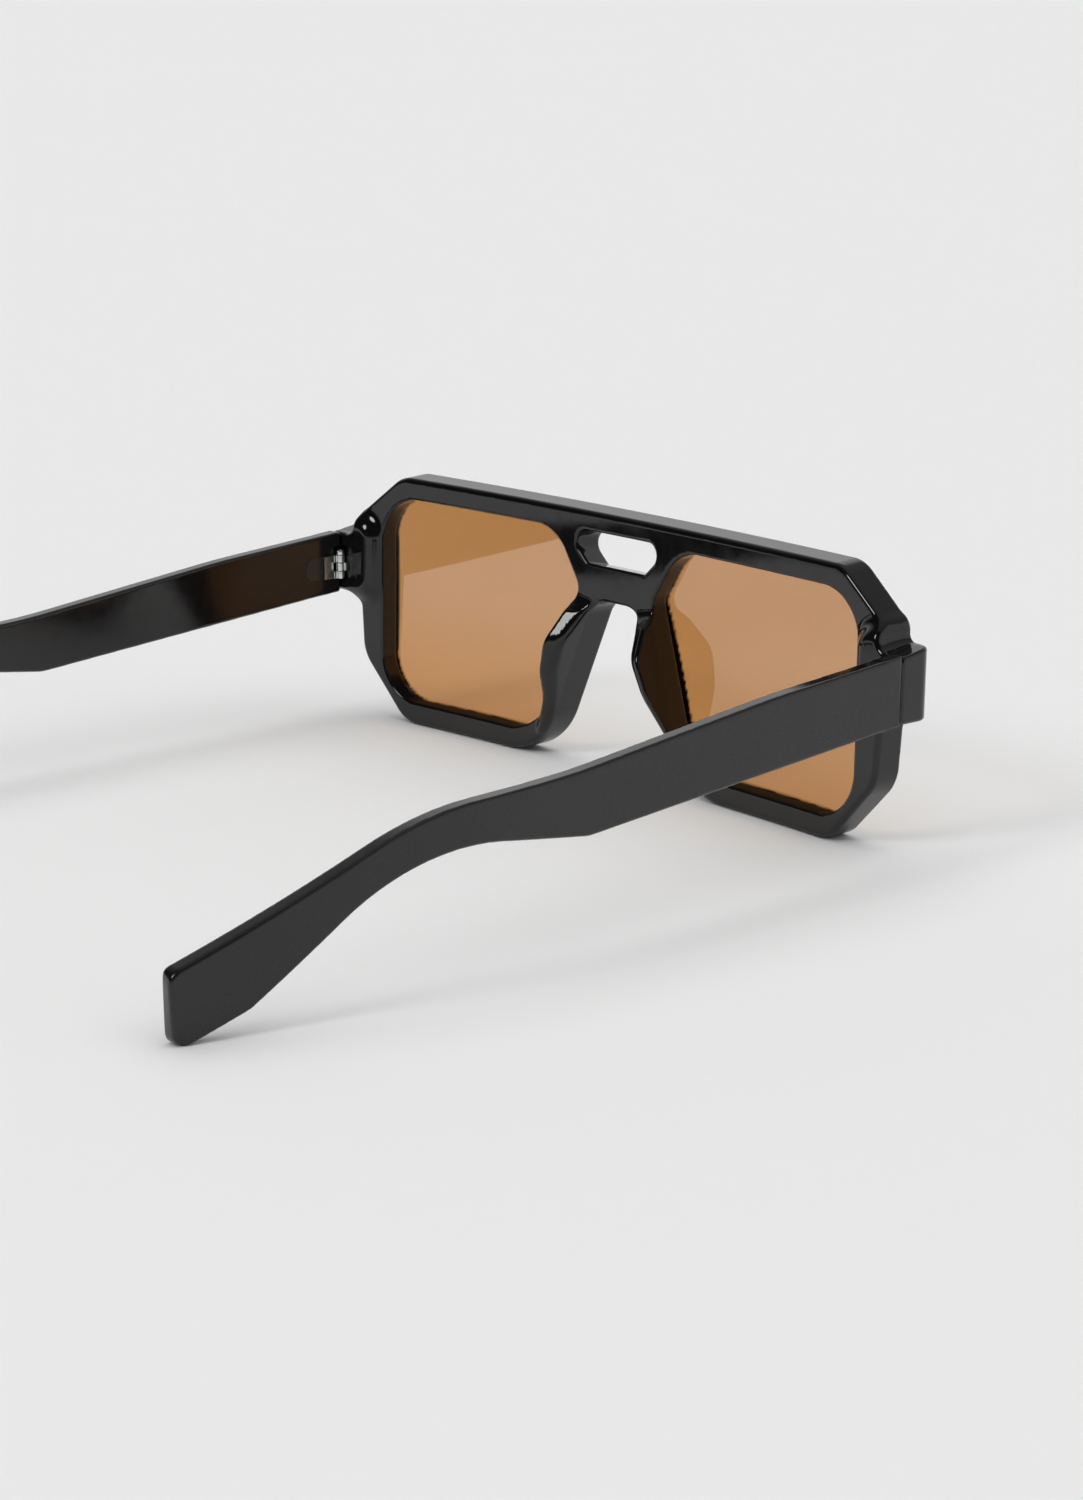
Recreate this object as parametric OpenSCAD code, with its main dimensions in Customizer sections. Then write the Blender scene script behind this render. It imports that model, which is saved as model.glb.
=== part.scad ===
// Square aviator sunglasses with a double bridge, standing open on a flat surface.
// Front faces -Y, +X is the wearer's left, +Z is up. The rims and the temple tips rest on z = 0.

/* [Front] */
// Width of each lens opening at its widest
opening_w = 51.9; // [48:0.1:56]
// Height of each lens opening
opening_h = 39.4; // [36:0.1:44]
// Distance between the two lens openings
bridge_w = 19; // [17:0.1:22]
// Thickness of the front from face to face
front_t = 5.9; // [5.2:0.1:6.5]
// Forward lean of the front, in degrees
lean = 1.15; // [0:0.05:3]
// Radius of the front's back face seen from above
curve_r = 630; // [400:10:900]
// Height of the rim under the lens opening
rim_low = 4.3; // [3:0.1:5]
// Height of the brow bar over the lens opening
brow = 4.4; // [3:0.1:5]
// Width of the rim beside the opening, at the top
side_top = 6.9; // [6:0.1:7.5]
// Width of the rim beside the opening, at the bottom
side_low = 5.7; // [4.5:0.1:6.2]
// Width of the upper outer chamfer
chamfer_top_w = 11.4; // [9:0.1:13]
// Height of the upper outer chamfer
chamfer_top_h = 8.7; // [7:0.1:8.9]
// Width of the lower outer chamfer
chamfer_low_w = 11.5; // [9:0.1:13]
// Height of the lower outer chamfer
chamfer_low_h = 11.7; // [8:0.1:12]
// Radius of the lens opening's outer corners
opening_r = 9; // [6:0.1:11]
// Step of the opening from its nose corner to its lower edge
nose_step_low = 9.1; // [8:0.1:10]
// Step of the opening from its nose corner to its top edge
nose_step_top = 6.3; // [5:0.1:8]
// Height of the opening's nose corner over its lower edge
nose_corner_h = 29.3; // [26:0.1:31]

/* [Nose and bridge] */
// Height of the nose arch above the table
arch_h = 31.3; // [30:0.1:33]
// Half width of the nose gap at its top
arch_half = 5.3; // [4:0.1:5.4]
// Half width of the nose gap at the table
gap_half = 18.45; // [17:0.1:20]
// Half width of the bridge slot at its top
slot_half_top = 13.5; // [11:0.1:14]
// Half width of the bridge slot at its bottom
slot_half_low = 7.3; // [5:0.1:8]
// Height of the slot's lower edge above the table
slot_z = 37.8; // [36.5:0.1:39]
// Height of the slot
slot_h = 5.9; // [4:0.1:6.5]
// How far the nose pads stand out behind the front
pad_out = 6.1; // [4:0.1:6.5]
// Height of the nose pads' furthest point
pad_z = 24.2; // [22:0.1:25]
// Turn of the nose pads' rear faces outwards
pad_turn = 25; // [18:1:32]

/* [End pieces] */
// Reach of the end pieces past the rims
end_reach = 5.5; // [5:0.1:6.5]
// Lower edge of the end pieces above the table
end_z = 23.9; // [23:0.1:24.6]
// Height of the end pieces
end_h = 11.8; // [11:0.1:12.2]
// Width of the swelling behind the rim that carries the hinge
boss_w = 11; // [10.4:0.1:11.8]
// Depth of the butt face behind the middle of the front's back face
butt_y = 4.85; // [4.6:0.05:5.6]
// Radius of the end pieces' outer front corners
end_r = 2.7; // [1:0.1:3]

/* [Lenses] */
// Thickness of the lens
lens_t = 1.7; // [1.4:0.1:2]
// Radius of the lens's front surface
lens_r = 200; // [160:5:220]
// How far the middle of a lens stands out before the front of its rim
lens_bulge = 0.25; // [0.1:0.05:0.4]
// Depth of the groove that holds the lens
groove = 0.7; // [0.5:0.1:1]
// Thickness of the lip in front of the groove
lip_t = 0.5; // [0.4:0.1:0.8]
// Width of the step between the lip and the front's face
lip_w = 1; // [0.6:0.1:1.4]
// Clearance of the lens in its groove
lens_fit = 0.05; // [0.02:0.01:0.1]

/* [Temples] */
// Thickness of the temples
temple_t = 3; // [2.8:0.1:3.4]
// Reach of the temples behind the middle of the front's back face
temple_end = 145.8; // [140:0.1:150]
// Distance behind the front where the inward bend starts
bend_y = 85; // [80:1:95]
// Radius of the inward bend, at the outer face
bend_r = 195; // [150:5:300]
// Gap between a temple and its end piece
butt_gap = 0.3; // [0.25:0.05:0.5]
// Radius of the paddle's lower corner, which rests on the table
tip_r = 1.8; // [1:0.1:2.5]

/* [Hinges] */
// Radius of the hinge barrel
barrel_r = 0.9; // [0.85:0.05:1]
// Radius of the hinge screw's shank
pin_r = 0.5; // [0.4:0.05:0.55]
// Radial clearance of the shank in the knuckles
pin_fit = 0.05; // [0.02:0.01:0.08]
// Lower end of the barrel above the table
barrel_z = 26.8; // [26:0.1:27]
// Height of each outer knuckle
knuckle_h = 1.45; // [1.2:0.05:1.5]
// Height of the middle knuckle
middle_h = 1.6; // [1.4:0.05:1.8]
// Gap between two knuckles
knuckle_gap = 0.05; // [0.03:0.01:0.1]
// Distance of the hinge axis inside the temple's inner face
axis_in = 0.8; // [0.75:0.05:1]
// Distance of the hinge axis behind the butt face
axis_back = 1; // [0.95:0.05:1.2]
// Space kept round the barrel in the plastic
relief = 0.3; // [0.3:0.05:0.4]
// Thickness of the leaf plates
leaf_t = 0.8; // [0.6:0.1:0.9]
// How far the leaf plates stand out of the plastic
leaf_proud = 0.15; // [0.1:0.05:0.2]
// Clearance of the leaves in their pockets
leaf_fit = 0.02; // [0.01:0.01:0.05]
// Length of the temple leaf behind the axis
leaf_l = 8; // [7:0.1:10]
// Radius of the temple leaf's rounded end
leaf_r = 2.5; // [2.4:0.1:3]
// Radius of the screw head
head_r = 0.85; // [0.75:0.05:0.9]
// Height of the screw head
head_h = 1; // [0.8:0.1:1.2]

/* [Hidden] */

// Places worked out from the sizes above
open_in = bridge_w / 2;
open_out = open_in + opening_w;
open_low = rim_low;
open_top = rim_low + opening_h;
front_h = open_top + brow;
side_x_top = open_out + side_top;
side_x_low = open_out + side_low;
outer_x = side_x_top + end_reach;
end_top = end_z + end_h;
inner_x = outer_x - temple_t;
axis_x = inner_x - axis_in;
axis_y = butt_y + axis_back;
middle_z = barrel_z + knuckle_h + knuckle_gap;
upper_z = middle_z + middle_h + knuckle_gap;
barrel_top = upper_z + knuckle_h;
relief_r = barrel_r + relief;
leaf_z = barrel_z + 0.1;
leaf_h = barrel_top - barrel_z - 0.2;
lens_reach = curve_r + front_t + lens_bulge - lens_r;
lens_x = lens_reach * (open_in + opening_w / 2) / curve_r;
lens_y = curve_r - sqrt(lens_reach * lens_reach - lens_x * lens_x);
lens_z = open_low + opening_h / 2;
butt_own = butt_y + (end_z + end_h / 2) * sin(lean);
mid_depth = (temple_end - front_t - front_h * sin(lean)) / 2;

// Corner radii of the front, the lens openings and the slot
arch_r = 4.5;
gap_r = 15;
foot_r = 7;
side_low_r = 8;
end_low_r = 3;
end_top_r = 1.9;
side_top_r = 3.2;
brow_r = 7;
edge_r = 0.5;
open_low_r = 13;
open_top_r = 9;
open_nose_r = 3;
slot_low_r = 0.8;
slot_top_r = 2.2;
boss_r = 3.5;

// Heights along the temple, measured at the distance behind the front
temple_low_front = end_z;
temple_top_front = end_top - 0.1;
ear_y = temple_end - 71.3;
ear_z = 18.9;
crook_y = temple_end - 38.8;
crook_z = 23.7;
heel_y = temple_end - 11.9;
heel_z = 3.9;
crown_y = temple_end - 40.3;
crown_z = 28.2;
dip_y = temple_end - 68.8;
dip_z = 29.2;
mid_y = 34;
mid_z = 33.7;
paddle_h = 10.6;

// Widths and depths of the hinge leaves' plates, anchors and bracket
front_leaf_w = 3;
leaf_start = 1.15;
neck_half = 0.8;
neck_l = 2;
neck_in = 1;
foot_half = 1.2;
foot_t = 1.2;
foot_in = 0.6;
shallow_t = 0.5;
bracket_t = 0.6;
bracket_l = 2.75;
notch_gap = 0.15;

// Lower end of the nose pads, and the line from which their rear faces turn, beside the opening
pad_foot = 5.5;
pad_in = 3.2;

// A polygon whose corners [x, y, r] are rounded; the points run counterclockwise.
function unit(v) = v / norm(v);
function xy(p) = [p[0], p[1]];
function cross2(a, b) = a[0] * b[1] - a[1] * b[0];
function at(p, i) = p[(i + len(p)) % len(p)];
function arm(p, i, j) = unit(xy(at(p, j)) - xy(at(p, i)));
function opening_angle(p, i) = acos(arm(p, i, i - 1) * arm(p, i, i + 1));
function reach(p, i) = at(p, i)[2] / tan(opening_angle(p, i) / 2);
function tangent(p, i, j) = xy(at(p, i)) + arm(p, i, j) * reach(p, i);
function hub(p, i) = xy(at(p, i))
    + unit(arm(p, i, i - 1) + arm(p, i, i + 1)) * at(p, i)[2] / sin(opening_angle(p, i) / 2);
function convex(p, i) = cross2(-arm(p, i, i - 1), arm(p, i, i + 1)) > 0;
function turn(p, i) = 180 - opening_angle(p, i);
function steps(p, i) = max(2, ceil(turn(p, i) / (at(p, i)[2] > 4 ? 5 : 10)));
function angle_of(v) = atan2(v[1], v[0]);
function corner(p, i) = at(p, i)[2] <= 0 ? [xy(at(p, i))] :
    let (
        c = hub(p, i),
        r = at(p, i)[2],
        start = angle_of(tangent(p, i, i - 1) - c),
        sweep = (convex(p, i) ? 1 : -1) * turn(p, i),
        n = steps(p, i)
    )
    [for (k = [0:n]) c + r * [cos(start + sweep * k / n), sin(start + sweep * k / n)]];

// Distance from the middle to the nose side of the rim, and of the lens opening, at a height
function nose_x(z) = gap_half + (arch_half - gap_half) * z / arch_h;
function open_x(z) = open_in + nose_step_low * (1 - (z - open_low) / nose_corner_h);

module rounded(p) {
    polygon([for (i = [0:len(p) - 1]) each corner(p, i)]);
}

// Turns a drawing of x and z into a solid from y = a to y = b.
module standing(a, b) {
    translate([0, b, 0]) rotate([90, 0, 0]) linear_extrude(height = b - a) children();
}

// The curved shell of one lens, grown by g on both faces
module lens_shell(g) {
    translate([lens_x, lens_y, lens_z]) difference() {
        sphere(r = lens_r + g, $fn = 720);
        sphere(r = lens_r - lens_t - g, $fn = 720);
    }
}

// Outline of one half of the front
module half_front() {
    rounded([
        [-2, arch_h, 0],
        [arch_half, arch_h, arch_r],
        [gap_half, 0, gap_r],
        [side_x_low - chamfer_low_w, 0, foot_r],
        [side_x_low, chamfer_low_h, side_low_r],
        [side_x_low + 0.9, end_z, end_low_r],
        [outer_x, end_z, edge_r],
        [outer_x, end_top, edge_r],
        [side_x_top - 0.2, end_top, end_top_r],
        [side_x_top, front_h - chamfer_top_h, side_top_r],
        [side_x_top - chamfer_top_w, front_h, brow_r],
        [-2, front_h, 0]
    ]);
}

// Outline of one lens opening, grown by g on every side
module opening(g) {
    rounded([
        [open_in + nose_step_low - g, open_low - g, open_low_r + g],
        [open_out + g, open_low - g, opening_r + g],
        [open_out + g, open_top + g, opening_r + g],
        [open_in + nose_step_top - g, open_top + g, open_top_r + g],
        [open_in - g, open_low + nose_corner_h + g * 0.3, open_nose_r + g]
    ]);
}

module slot() {
    rounded([
        [-slot_half_low, slot_z, slot_low_r],
        [slot_half_low, slot_z, slot_low_r],
        [slot_half_top, slot_z + slot_h, slot_top_r],
        [-slot_half_top, slot_z + slot_h, slot_top_r]
    ]);
}

// Plan of one half of the front: the outer front corner is rounded
module half_plan() {
    front_y = outer_x * outer_x / (2 * curve_r) - front_t;
    rounded([
        [-2, -20, 0],
        [outer_x - 20, -20, 0],
        [outer_x - 20, front_y - 20 * outer_x / curve_r - 0.3, 0],
        [outer_x, front_y + 0.1, end_r],
        [outer_x, butt_own, 0.3],
        [-2, butt_own, 0]
    ]);
}

// One moulded nose pad: its outline from behind, cut to its side view, which turns outwards
module pad() {
    intersection() {
        standing(-1, pad_out + 4) rounded([
            [nose_x(pad_foot) + 0.35, pad_foot, 0.8],
            [open_x(pad_foot) + 0.3, pad_foot + 0.4, 0.8],
            [open_x(arch_h) + 0.3, arch_h - 0.4, 1],
            [nose_x(arch_h - 1) - 0.05, arch_h - 1, 1],
            [nose_x(pad_foot + 3.5) - 0.05, pad_foot + 3.5, 4]
        ]);
        translate([open_in + pad_in, 0, 0]) rotate([0, 0, pad_turn])
            rotate([90, 0, 90]) translate([0, 0, -20]) linear_extrude(height = 40) rounded([
                [-3, pad_z - 21.2, 0],
                [pad_out - 5.7, pad_z - 13.7, 12],
                [pad_out - 1.6, pad_z - 6.6, 10],
                [pad_out, pad_z - 0.4, 4.5],
                [pad_out - 2.4, pad_z + 5.1, 2],
                [-3, pad_z + 11, 0]
            ]);
    }
}

// Outline from behind of the swelling that carries the hinge
module boss() {
    rounded([
        [outer_x - boss_w, end_z - 0.4, boss_r],
        [outer_x + 5, end_z - 0.4, 0],
        [outer_x + 5, end_top + 2.7, 0],
        [outer_x - boss_w, end_top + 2.7, boss_r]
    ]);
}

// Moves the object so that the middle of its depth stands over the origin
module placed() {
    translate([0, -mid_depth, 0]) children();
}

// Leans the front forward round the line on which it stands
module leaned() {
    rotate([lean, 0, 0]) children();
}

// Both halves of a shape
module both() {
    children();
    mirror([1, 0, 0]) children();
}

// The space that turns with the barrel
module barrel_space() {
    translate([axis_x, axis_y, barrel_z - relief])
        cylinder(r = relief_r, h = barrel_top - barrel_z + head_h + 2 * relief, $fn = 96);
}

// The front with its end pieces and pads, upright
module front_body() {
    difference() {
        union() {
            difference() {
                intersection() {
                    standing(-20, 20) difference() {
                        both() half_front();
                        both() opening(0);
                        slot();
                    }
                    translate([0, curve_r, -10])
                        cylinder(r = curve_r + front_t, h = front_h + 20, $fn = 2880);
                    translate([0, 0, -5]) linear_extrude(height = front_h + 15) both() half_plan();
                }
                difference() {
                    translate([0, curve_r, -11]) cylinder(r = curve_r, h = front_h + 22, $fn = 2880);
                    both() standing(-30, 30) boss();
                }
            }
            both() pad();
        }
        both() intersection() {
            standing(-20, 20) opening(groove);
            lens_shell(lens_fit);
        }
        both() difference() {
            standing(-20, 5) opening(lip_w);
            translate([lens_x, lens_y, lens_z]) sphere(r = lens_r + lip_t, $fn = 720);
        }
    }
}

// The front leans, stands on a flat foot and carries the hinges upright
module front_frame() {
    color([0.06, 0.055, 0.055]) placed() difference() {
        intersection() {
            leaned() front_body();
            translate([-outer_x - 5, -30, 0]) cube([2 * outer_x + 10, 60, front_h + 10]);
        }
        both() front_leaf_shape(leaf_fit);
        both() barrel_space();
    }
}

module lens() {
    color([0.72, 0.5, 0.28, 0.8]) placed() leaned() intersection() {
        standing(-20, 20) opening(groove - lens_fit);
        lens_shell(0);
    }
}

module lens_left() {
    lens();
}

module lens_right() {
    mirror([1, 0, 0]) lens();
}

// Side view of a temple: y runs along the object, z is the height
module temple_side() {
    start_low = butt_y + butt_gap + end_h / 2 * sin(lean);
    start_top = butt_y + butt_gap - end_h / 2 * sin(lean);
    rounded([
        [start_low, temple_low_front, 0.4],
        [ear_y, ear_z, 10],
        [crook_y, crook_z, 38],
        [heel_y, heel_z, 3],
        [temple_end - 0.9, -0.83, tip_r],
        [temple_end, paddle_h, 3],
        [crown_y, crown_z, 50],
        [dip_y, dip_z, 150],
        [mid_y, mid_z, 200],
        [start_top, temple_top_front, 0.4]
    ]);
}

// Plan of a temple: straight, then bent inwards round one centre and cut square at its end
module temple_plan() {
    end_turn = asin((temple_end - bend_y) / bend_r);
    far = bend_r + 5;
    translate([inner_x, 0]) square([temple_t, bend_y]);
    translate([outer_x - bend_r, bend_y]) intersection() {
        difference() {
            circle(r = bend_r, $fn = 2880);
            circle(r = bend_r - temple_t, $fn = 2880);
        }
        polygon([[0, -0.01], [far, -0.01], [far, far * tan(end_turn)]]);
    }
}

module temple() {
    color([0.13, 0.125, 0.125]) placed() difference() {
        intersection() {
            rotate([90, 0, 90]) linear_extrude(height = outer_x + 5) temple_side();
            translate([0, 0, -5]) linear_extrude(height = end_top + 15) temple_plan();
        }
        temple_leaf_shape(leaf_fit);
        barrel_space();
    }
}

module temple_left() {
    temple();
}

module temple_right() {
    mirror([1, 0, 0]) temple();
}

// A knuckle round the hinge axis
module knuckle(z, h) {
    translate([axis_x, axis_y, z]) cylinder(r = barrel_r, h = h, $fn = 96);
}

module bore() {
    translate([axis_x, axis_y, barrel_z - 1])
        cylinder(r = pin_r + pin_fit, h = barrel_top - barrel_z + 2, $fn = 96);
}

// A block between two corners, grown by g
module block(a, b, g) {
    translate([a[0] - g, a[1] - g, a[2] - g])
        cube([b[0] - a[0] + 2 * g, b[1] - a[1] + 2 * g, b[2] - a[2] + 2 * g]);
}

// Front leaf: a plate in the butt face with an anchor, and the middle knuckle
module front_leaf_shape(g) {
    front_y = butt_y + leaf_proud;
    plate_y = front_y - leaf_t;
    near_x = axis_x - relief_r + 0.3;
    mid_x = near_x - front_leaf_w / 2;
    leaf_top = leaf_z + leaf_h;
    block([near_x - front_leaf_w, plate_y, leaf_z], [near_x, front_y, leaf_top], g);
    block([mid_x - neck_half, plate_y - neck_l, leaf_z + neck_in],
        [mid_x + neck_half, plate_y + 0.1, leaf_top - neck_in], g);
    block([mid_x - foot_half, plate_y - neck_l - foot_t / 2, leaf_z + foot_in],
        [mid_x + foot_half, plate_y - neck_l + foot_t / 2, leaf_top - foot_in], g);
    block([near_x - 0.5, plate_y, middle_z], [axis_x, axis_y - pin_r + 0.1, middle_z + middle_h], g);
    knuckle(middle_z - g, middle_h + 2 * g);
}

module front_leaf() {
    color([0.75, 0.75, 0.73]) placed() difference() {
        front_leaf_shape(0);
        bore();
    }
}

module front_leaf_left() {
    front_leaf();
}

module front_leaf_right() {
    mirror([1, 0, 0]) front_leaf();
}

// Temple leaf: a plate with a round end in the inner face, a raised bracket and two knuckles
module temple_leaf_shape(g) {
    start_y = axis_y + leaf_start;
    end_y = axis_y + leaf_l;
    face_x = inner_x - leaf_proud;
    back_x = face_x + leaf_t;
    anchor_y = start_y + bracket_l;
    leaf_top = leaf_z + leaf_h;
    intersection() {
        block([face_x, start_y, leaf_z], [back_x, end_y, leaf_top], g);
        union() {
            block([face_x - 1, start_y, leaf_z - 1], [back_x + 1, end_y - leaf_r, leaf_top + 1], g);
            translate([face_x - 1, end_y - leaf_r, leaf_z + leaf_h / 2]) rotate([0, 90, 0])
                cylinder(r = leaf_r + g, h = leaf_t + 2, $fn = 96);
        }
    }
    block([back_x - 0.1, anchor_y - neck_half, leaf_z + neck_in],
        [back_x + shallow_t, anchor_y + neck_half, leaf_top - neck_in], g);
    block([back_x + shallow_t / 2, anchor_y - foot_half, leaf_z + foot_in],
        [back_x + shallow_t * 1.5, anchor_y + foot_half, leaf_top - foot_in], g);
    difference() {
        block([face_x - bracket_t, start_y, leaf_z], [face_x + 0.1, start_y + bracket_l, leaf_top], g);
        block([face_x - 2, start_y - 1, middle_z - notch_gap],
            [face_x - 0.001, start_y + bracket_l / 2, middle_z + middle_h + notch_gap], 0);
    }
    for (z = [barrel_z, upper_z]) {
        knuckle(z - g, knuckle_h + 2 * g);
        block([axis_x, axis_y, z], [inner_x + 0.1, start_y + 0.1, z + knuckle_h], g);
    }
}

module temple_leaf() {
    color([0.75, 0.75, 0.73]) placed() difference() {
        temple_leaf_shape(0);
        bore();
    }
}

module temple_leaf_left() {
    temple_leaf();
}

module temple_leaf_right() {
    mirror([1, 0, 0]) temple_leaf();
}

// Hinge screw: a shank through the three knuckles and a domed, slotted head
module hinge_screw() {
    dome_r = (head_r * head_r + head_h * head_h / 4) / head_h;
    color([0.8, 0.8, 0.78]) placed() translate([axis_x, axis_y, 0]) difference() {
        union() {
            translate([0, 0, barrel_z]) cylinder(r = pin_r, h = barrel_top - barrel_z + 0.2, $fn = 96);
            intersection() {
                translate([0, 0, barrel_top]) cylinder(r = head_r, h = head_h, $fn = 96);
                translate([0, 0, barrel_top + head_h - dome_r]) sphere(r = dome_r, $fn = 96);
            }
        }
        translate([-head_r - 1, -0.12, barrel_top + head_h - 0.35]) cube([2 * head_r + 2, 0.24, 1]);
    }
}

module hinge_screw_left() {
    hinge_screw();
}

module hinge_screw_right() {
    mirror([1, 0, 0]) hinge_screw();
}

front_frame();
lens_left();
lens_right();
temple_left();
temple_right();
front_leaf_left();
front_leaf_right();
temple_leaf_left();
temple_leaf_right();
hinge_screw_left();
hinge_screw_right();
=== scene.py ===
"""Square sunglasses with a double bridge, standing open on a pale table."""

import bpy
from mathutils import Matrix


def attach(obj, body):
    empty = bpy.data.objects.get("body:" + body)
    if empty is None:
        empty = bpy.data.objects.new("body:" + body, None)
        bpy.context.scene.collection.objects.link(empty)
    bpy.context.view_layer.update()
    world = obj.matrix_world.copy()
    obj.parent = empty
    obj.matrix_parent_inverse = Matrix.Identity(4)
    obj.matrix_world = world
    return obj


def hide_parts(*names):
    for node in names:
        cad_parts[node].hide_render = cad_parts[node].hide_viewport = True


bl_info = {
    "name": "Square aviator sunglasses",
    "version": (1, 0, 0),
    "blender": (4, 5, 0),
    "location": "3D View > Sidebar > Glasses",
    "description": "Makes a pair of sunglasses with folding temples, piece by piece",
    "category": "Add Mesh",
}

import math
from types import SimpleNamespace

import bpy
import numpy as np
from bpy.props import FloatProperty, FloatVectorProperty, PointerProperty
from mathutils import Matrix, Vector

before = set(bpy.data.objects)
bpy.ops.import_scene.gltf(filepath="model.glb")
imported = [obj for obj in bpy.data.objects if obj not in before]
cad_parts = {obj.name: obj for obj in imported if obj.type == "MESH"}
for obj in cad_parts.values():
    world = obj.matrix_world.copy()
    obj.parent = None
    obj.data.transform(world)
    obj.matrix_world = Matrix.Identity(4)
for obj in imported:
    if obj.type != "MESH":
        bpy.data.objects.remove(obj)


def length(name, description, default):
    return FloatProperty(
        name=name, description=description, default=default, unit="LENGTH", precision=5
    )


def colour(name, description, default):
    return FloatVectorProperty(
        name=name, description=description, default=default, subtype="COLOR", min=0.0, max=1.0
    )


def plain(name, description, default):
    return FloatProperty(name=name, description=description, default=default)


class FrontSizes(bpy.types.PropertyGroup):
    opening_w: length("Opening width", "Width of each lens opening", 0.0519)
    opening_h: length("Opening height", "Height of each lens opening", 0.0394)
    bridge_w: length("Bridge width", "Least distance between the lens openings", 0.019)
    front_t: length("Front thickness", "Thickness of the rims", 0.0059)
    lean: FloatProperty(
        name="Lean",
        description="Angle by which the front leans forward",
        default=math.radians(1.15),
        subtype="ANGLE",
    )
    curve_r: length("Face curve", "Radius of the front's curve in plan", 0.630)
    rim_low: length("Lower rim", "Height of the rim under the openings", 0.0043)
    brow: length("Brow", "Height of the brow bar over the openings", 0.0044)
    side_top: length("Upper side", "Width of the rim's side at the top", 0.0069)
    side_low: length("Lower side", "Width of the rim's side at the foot", 0.0057)
    arch_h: length("Nose arch height", "Top of the nose gap above the table", 0.0313)
    arch_half: length("Nose arch half width", "Half the width of the nose gap at its top", 0.0053)
    gap_half: length("Nose gap half width", "Half the width of the nose gap at its foot", 0.01845)
    pad_out: length("Pad depth", "How far the nose pads stand out behind the front", 0.0061)
    end_reach: length("End piece reach", "How far the end pieces stand out beside the rims", 0.0055)
    end_z: length("End piece foot", "Height of the end pieces' lower face", 0.0239)
    end_h: length("End piece height", "Height of the end pieces", 0.0118)
    butt_y: length("Butt face", "Distance of the end pieces' rear faces behind the rims", 0.00485)
    front_edge: length("Edge rounding", "Radius of the front's edges", 0.00095)


class LensSizes(bpy.types.PropertyGroup):
    lens_t: length("Lens thickness", "Thickness of each lens", 0.0017)
    lens_r: length("Lens curve", "Radius of each lens's front face", 0.200)
    lens_bulge: length(
        "Lens bulge", "How far a lens's middle stands out before the rim's front", 0.00025
    )
    groove: length("Lens edge", "How far each lens reaches into the rim", 0.00065)


class TempleSizes(bpy.types.PropertyGroup):
    temple_t: length("Temple thickness", "Thickness of the temples", 0.003)
    temple_end: length("Temple end", "Distance of the temples' ends behind the rims", 0.1458)
    bend_y: length("Bend start", "Distance behind the rims at which the temples bend", 0.085)
    bend_r: length("Bend radius", "Radius of the temples' bend in plan", 0.195)
    temple_edge: length("Edge rounding", "Radius of the temples' edges", 0.0006)


class HingeSizes(bpy.types.PropertyGroup):
    barrel_r: length("Barrel radius", "Radius of the hinge knuckles", 0.0009)
    pin_r: length("Screw radius", "Radius of the screw's shank", 0.0005)
    barrel_z: length("Barrel foot", "Height of the lowest knuckle's lower face", 0.0268)
    knuckle_h: length("Outer knuckle height", "Height of the upper and lower knuckle", 0.00145)
    middle_h: length("Middle knuckle height", "Height of the middle knuckle", 0.0016)
    head_r: length("Head radius", "Radius of the screw's head", 0.00085)
    head_h: length("Head height", "Height of the screw's head", 0.001)
    slot_w: length("Driver slot", "Width of the slot across the screw's head", 0.00024)
    leaf_edge: length("Edge rounding", "Radius of the leaves' edges", 0.00009)


class Finishes(bpy.types.PropertyGroup):
    plastic: colour("Front plastic", "Colour of the polished front", (0.0035, 0.0033, 0.0036))
    temple: colour("Temple plastic", "Colour of the temples", (0.0055, 0.0053, 0.0057))
    lens: colour("Lens tint", "Light that one face of a lens lets through", (0.795, 0.549, 0.32))
    metal: colour("Hinge metal", "Colour of the hinge leaves", (0.64, 0.66, 0.64))
    lacquer: colour(
        "Hinge lacquer", "Colour of the dark lacquer on the hinge plates", (0.02, 0.02, 0.019)
    )
    screw: colour("Screw metal", "Colour of the screws", (0.72, 0.73, 0.71))
    table: colour("Table", "Colour of the table", (0.83, 0.83, 0.83))


class StageSizes(bpy.types.PropertyGroup):
    table_size: length("Table size", "Width of the table", 24.0)
    sun_power: plain("Sun strength", "Strength of the soft main light", 1.68)
    sky_power: plain("Sky strength", "Strength of the light from all round", 1.0)
    panel_power: plain("Panel strength", "Strength of the lamp panel behind the glasses", 10.0)
    focal: plain("Focal length", "Focal length in millimetres for a 36 mm sensor", 79.64)


MM = 1000.0

# Distances in millimetres that the solids share
PLAY = 0.05  # round the screws and between the knuckles
ROOM = 0.3  # round a turning barrel
RELIEF_EDGE = 0.12  # rounding of the plastic at a barrel's room
LEAF_T = 0.8  # thickness of the hinge leaves
PROUD = 0.15  # how far the hinge leaves stand out of the plastic
SHORT = 0.1  # how much the leaves fall short of the barrel at each end
FILLET = 0.15  # between a knuckle and its arm
BORE_EDGE = 0.04  # rounding of the bores' edges
BARE_RING = 1.3  # from the axis, as far as the front's leaf is free of lacquer
BARE_REACH = 3.85  # behind the axis, as far as the temple's leaf is free of it
AXIS_IN = 0.8  # from a temple's inner face to its hinge's axis
AXIS_BACK = 1.0  # from the butt faces to the hinges' axes
TEMPLE_GAP = 0.3  # between the butt faces and the temples
NOSE_CUT = 9.1  # how far an opening's nose side leans away from the nose
NOSE_RISE = 29.3  # height of that side over the opening's foot

# Grid steps of the surfaces, in millimetres
BODY_STEP = 0.4
LENS_STEP = 0.5
LEAF_STEP = 0.1

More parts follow.
